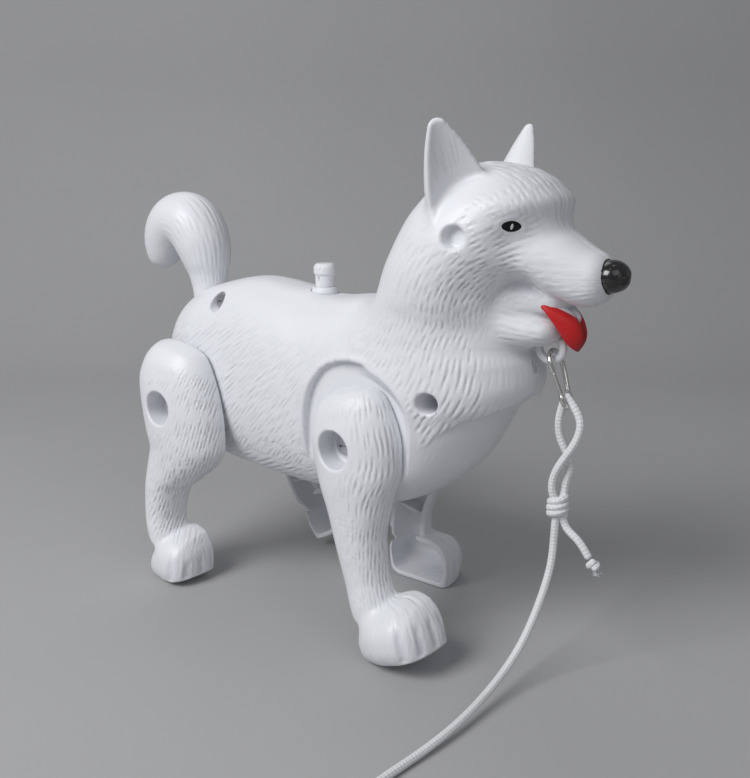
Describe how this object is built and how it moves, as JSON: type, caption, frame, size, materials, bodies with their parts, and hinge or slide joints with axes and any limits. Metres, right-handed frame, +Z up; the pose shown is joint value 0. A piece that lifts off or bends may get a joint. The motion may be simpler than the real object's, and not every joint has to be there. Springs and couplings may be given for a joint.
{
  "type": "walking toy dog on a leash",
  "caption": "Walking toy dog in white moulded plastic with an open mouth, curled tail and swinging legs driven by a crank, on a cord leash clipped under its chin.",
  "frame": {"origin": "middle of the dog on the floor, without the leash", "axes": "+X from tail to nose, +Y to the left side of the dog, +Z up"},
  "size_m": [0.2208, 0.1648, 0.1744],
  "materials": {
    "white_plastic": "satin moulded with incised fur",
    "leg_plastic": "satin moulded with incised fur",
    "tail_plastic": "satin moulded",
    "button_plastic": "satin",
    "nose_black": "glossy paint",
    "tongue_red": "semi-gloss",
    "nickel_wire": "bright nickel",
    "screw_steel": "zinc",
    "gear_plastic": "natural",
    "frame_plastic": "black",
    "motor_steel": "plated",
    "pinion_brass": "plain",
    "cell_skin": "plain wrap, no print",
    "cord_white": "braided elastic cord"
  },
  "bodies": {
    "body": {"right_shell": "white_plastic", "left_shell": "white_plastic", "head_screw": "screw_steel", "chest_screw": "screw_steel", "rump_screw": "screw_steel", "nose": "nose_black", "tongue": "tongue_red", "chin_ring": "white_plastic", "motor": "motor_steel", "gear_axle": "screw_steel", "gearbox_right_plate": "frame_plastic", "gearbox_left_plate": "frame_plastic", "button_collar": "white_plastic", "push_switch": "frame_plastic", "battery_tray": "frame_plastic", "battery_right": "cell_skin", "battery_left": "cell_skin", "battery_door": "white_plastic", "door_screw": "screw_steel", "hook_body": "nickel_wire", "leash_loop": "cord_white", "leash_knot": "cord_white", "leash_tail": "cord_white", "leash_tail_knot": "cord_white", "leash_coil": "cord_white", "leash_lead": "cord_white", "leash_end_knot": "cord_white"},
    "crank": {"crank_gear": "gear_plastic", "right_crank": "gear_plastic", "left_crank": "gear_plastic"},
    "compound": {"compound_gear": "gear_plastic"},
    "pinion": {"motor_pinion": "pinion_brass"},
    "tail_body": {"tail": "tail_plastic"},
    "button": {"push_button": "button_plastic"},
    "gate": {"hook_gate": "nickel_wire"},
    "right_front": {"right_front_leg": "leg_plastic", "right_front_rocker": "gear_plastic", "right_front_screw": "screw_steel"},
    "right_rear": {"right_rear_leg": "leg_plastic", "right_rear_rocker": "gear_plastic", "right_rear_screw": "screw_steel"},
    "left_front": {"left_front_leg": "leg_plastic", "left_front_rocker": "gear_plastic", "left_front_screw": "screw_steel"},
    "left_rear": {"left_rear_leg": "leg_plastic", "left_rear_rocker": "gear_plastic", "left_rear_screw": "screw_steel"}
  },
  "joints": [
    {"name": "right_front_hip", "type": "hinge", "parent": "body", "child": "right_front", "pos_m": [0.02435, 0, 0.072], "axis": [0, -1, 0], "range_deg": [-26, 0]},
    {"name": "left_front_hip", "type": "hinge", "parent": "body", "child": "left_front", "pos_m": [0.02435, 0, 0.072], "axis": [0, -1, 0], "range_deg": [0, 26]},
    {"name": "right_rear_hip", "type": "hinge", "parent": "body", "child": "right_rear", "pos_m": [-0.06025, 0, 0.072], "axis": [0, -1, 0], "range_deg": [0, 29]},
    {"name": "left_rear_hip", "type": "hinge", "parent": "body", "child": "left_rear", "pos_m": [-0.06025, 0, 0.072], "axis": [0, -1, 0], "range_deg": [-29, 0]},
    {"name": "crank_turn", "type": "hinge", "parent": "body", "child": "crank", "pos_m": [-0.02025, 0, 0.08], "axis": [0, 1, 0], "continuous": true},
    {"name": "compound_turn", "type": "hinge", "parent": "body", "child": "compound", "pos_m": [-0.03537, 0, 0.08405], "axis": [0, 1, 0], "continuous": true},
    {"name": "pinion_turn", "type": "hinge", "parent": "body", "child": "pinion", "pos_m": [-0.04342, 0, 0.09556], "axis": [0, 1, 0], "continuous": true},
    {"name": "tail_swivel", "type": "hinge", "parent": "body", "child": "tail_body", "pos_m": [-0.07015, 0, 0.1114], "axis": [-0.12, 0, 0.9928], "range_deg": [-15, 15]},
    {"name": "button_press", "type": "slide", "parent": "body", "child": "button", "axis": [0, 0, -1], "range_m": [0, 0.0028], "stiffness_N_per_m": 500},
    {"name": "gate_open", "type": "hinge", "parent": "body", "child": "gate", "pos_m": [0.08634, -0.00225, 0.09303], "axis": [-0.9397, 0, -0.342], "range_deg": [0, 25], "stiffness_Nm_per_rad": 0.002}
  ],
  "couplings": [
    {"joint": "left_front_hip", "follows": "right_front_hip", "ratio": -1},
    {"joint": "right_rear_hip", "follows": "right_front_hip", "ratio": -1.115},
    {"joint": "left_rear_hip", "follows": "right_front_hip", "ratio": 1.115},
    {"joint": "compound_turn", "follows": "crank_turn", "ratio": -3.3333},
    {"joint": "pinion_turn", "follows": "crank_turn", "ratio": 11.25}
  ]
}
